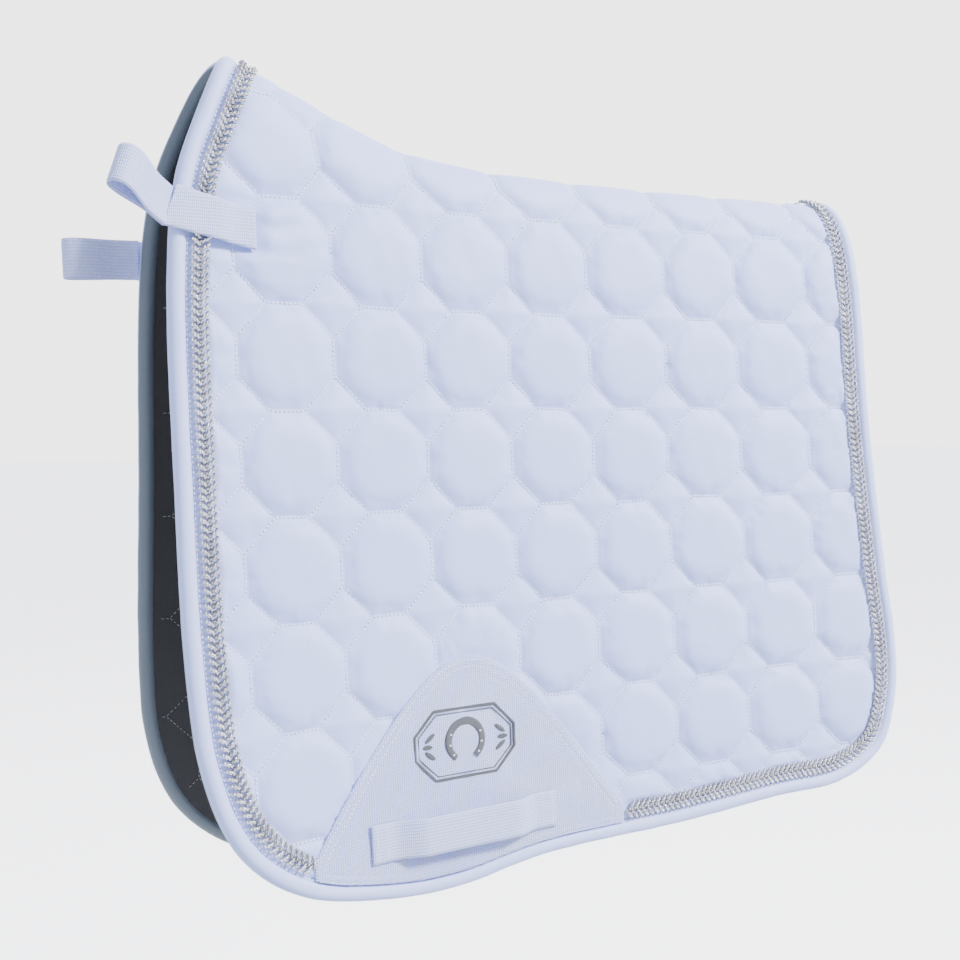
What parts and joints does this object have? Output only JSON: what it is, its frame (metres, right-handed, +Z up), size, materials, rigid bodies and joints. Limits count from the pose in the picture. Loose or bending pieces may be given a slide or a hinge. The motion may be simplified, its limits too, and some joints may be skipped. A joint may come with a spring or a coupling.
{
  "type": "saddle pad",
  "caption": "Quilted dressage saddle pad: two padded flaps hang from a curved spine seam, with corded binding, plaited trim, girth patches, keepers and webbing strap loops.",
  "frame": {"origin": "underside of the ridge, half way along the pad, on the plane between the two flaps", "axes": "+X from withers to tail along the spine, +Y to the horse's off (right) side, +Z up"},
  "size_m": [0.6674, 0.1396, 0.5672],
  "materials": {
    "tape": "woven cotton tape, matt",
    "satin": "quilted polyester satin, soft sheen",
    "wadding": "polyester filling, matt",
    "lining": "quilted brushed lining, matt",
    "binding": "smooth satin tape, soft sheen",
    "cord": "twisted cotton cord, matt",
    "braid": "plaited metallic yarn, glittering",
    "patch": "coarse woven nylon, slight sheen",
    "thread": "satin-stitch embroidery",
    "webbing": "ribbed webbing, matt"
  },
  "bodies": {
    "spine": {"spine_tape": "tape"},
    "left_flap": {"left_outer_cover": "satin", "left_wadding": "wadding", "left_lining": "lining", "left_binding": "binding", "left_piping_cord": "cord", "left_front_braid": "braid", "left_rear_braid": "braid", "left_girth_patch": "patch", "left_emblem": "thread", "left_girth_keeper": "webbing", "left_strap_anchor": "webbing"},
    "right_flap": {"right_outer_cover": "satin", "right_wadding": "wadding", "right_lining": "lining", "right_binding": "binding", "right_piping_cord": "cord", "right_front_braid": "braid", "right_rear_braid": "braid", "right_girth_patch": "patch", "right_emblem": "thread", "right_girth_keeper": "webbing", "right_strap_anchor": "webbing"},
    "left_loop": {"left_strap_loop": "webbing"},
    "right_loop": {"right_strap_loop": "webbing"}
  },
  "joints": [
    {"name": "left_flap_hinge", "type": "hinge", "parent": "spine", "child": "left_flap", "pos_m": [-0.243, 0, 0.0667], "axis": [-0.9949, 0, 0.1011], "range_deg": [0, 35]},
    {"name": "right_flap_hinge", "type": "hinge", "parent": "spine", "child": "right_flap", "pos_m": [-0.243, 0, 0.0667], "axis": [0.9949, 0, -0.1011], "range_deg": [0, 35]},
    {"name": "left_loop_hinge", "type": "hinge", "parent": "left_flap", "child": "left_loop", "pos_m": [-0.29547, -0.0356, -0.0373], "axis": [-0.3583, -0.2179, -0.9079], "range_deg": [-30, 30]},
    {"name": "right_loop_hinge", "type": "hinge", "parent": "right_flap", "child": "right_loop", "pos_m": [-0.29547, 0.03711, -0.06427], "axis": [0.03, 0, -0.9996], "range_deg": [-30, 30]}
  ]
}
